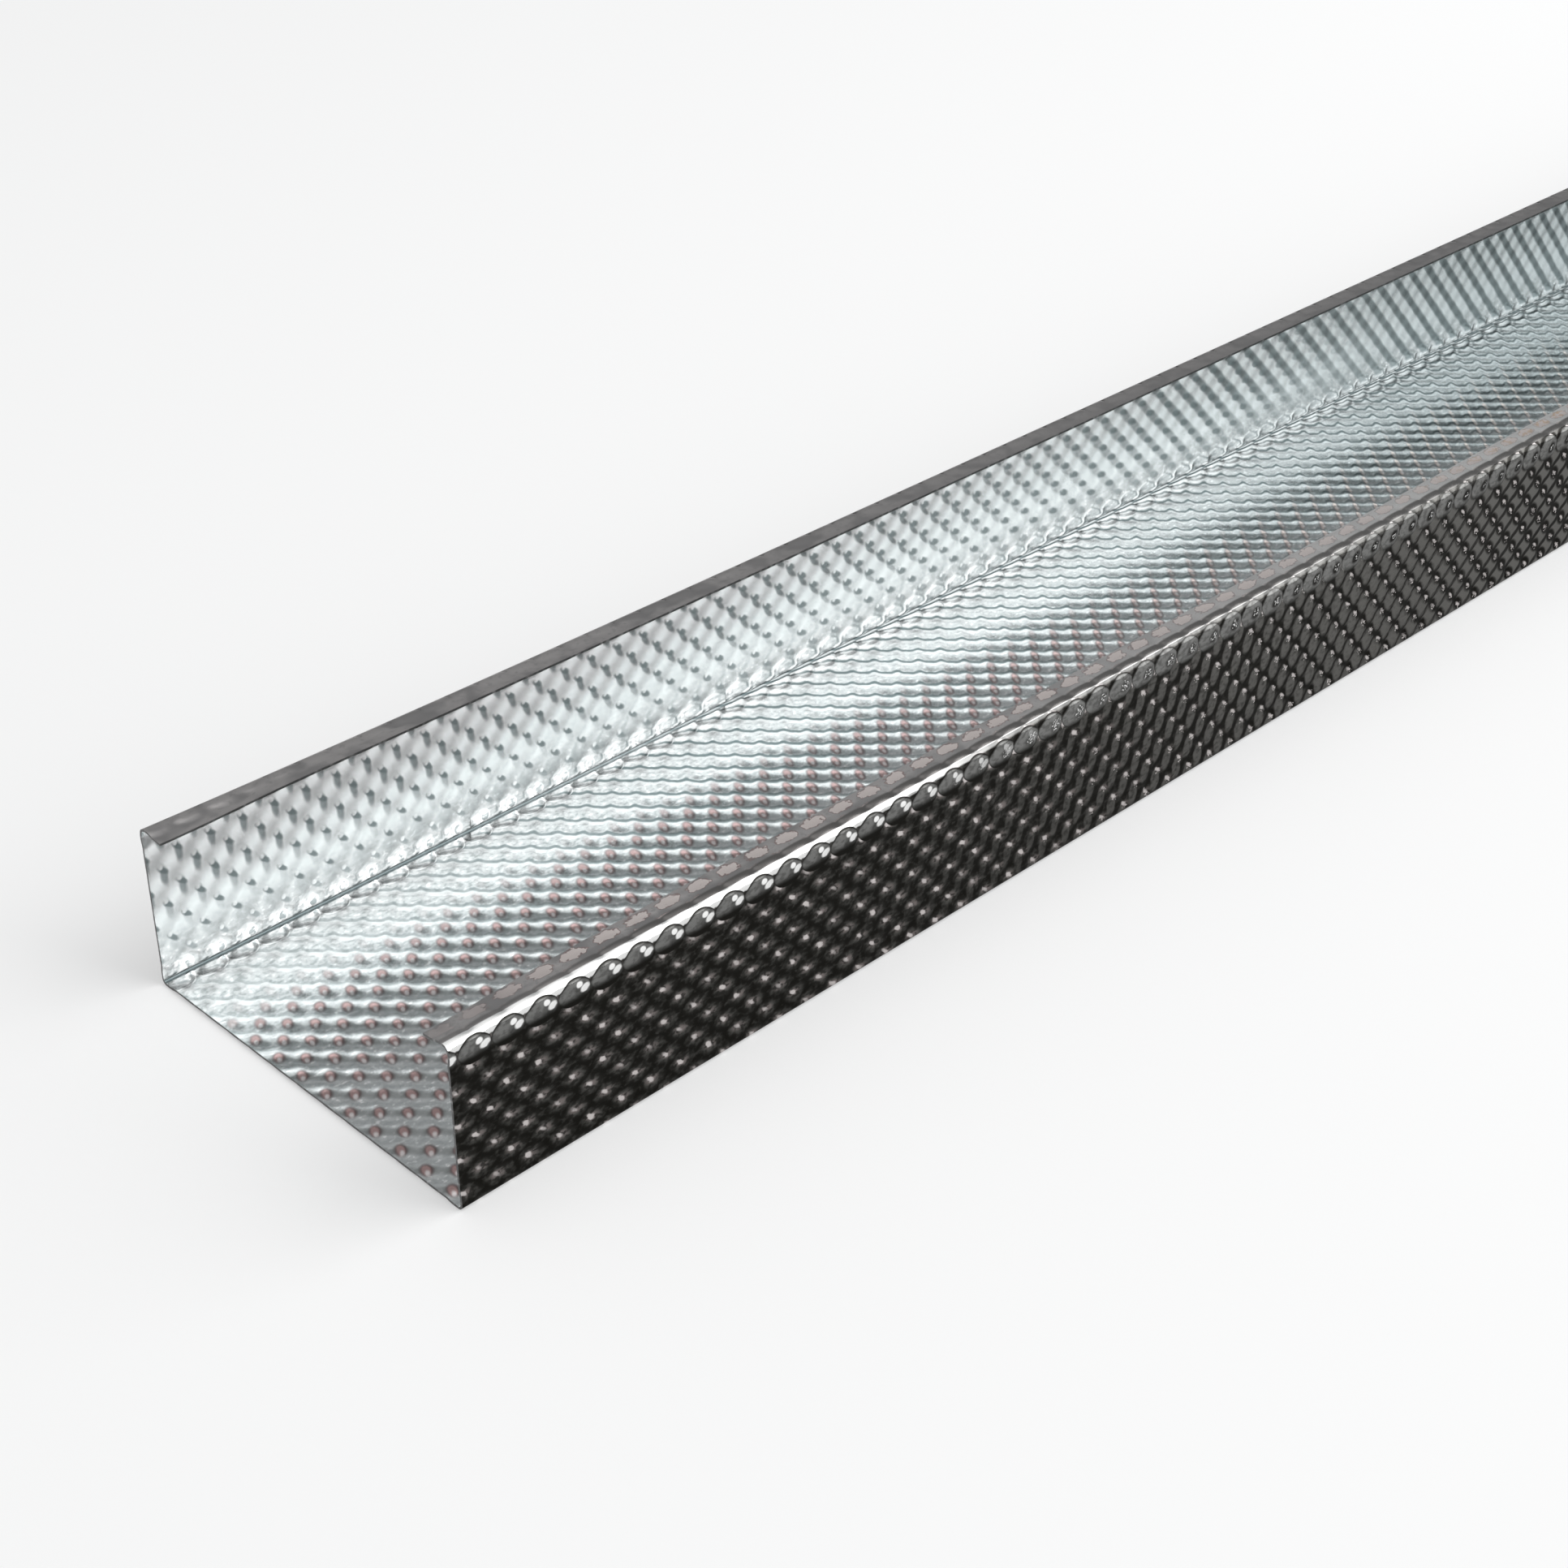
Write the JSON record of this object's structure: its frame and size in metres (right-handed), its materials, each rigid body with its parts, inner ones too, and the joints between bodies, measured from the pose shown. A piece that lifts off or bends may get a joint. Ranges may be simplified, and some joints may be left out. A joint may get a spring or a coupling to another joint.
{
  "type": "metal stud profile",
  "caption": "Roll-formed C-section wall stud of dimpled galvanised steel sheet, with a flat web, one taller flange and inward lips; its open channel takes cables and insulation.",
  "frame": {"origin": "middle of the web's underside, on the plane it lies on, at the middle of the stud's length", "axes": "+X along the stud, away from the end shown in the picture; +Y towards the shorter flange; +Z out of the open side of the channel"},
  "size_m": [2.4, 0.092, 0.0365],
  "materials": {
    "zinc_sheet": "galvanised, rolled with fine dimples on both faces"
  },
  "bodies": {
    "root": {"wall_stud": "zinc_sheet"}
  },
  "joints": []
}
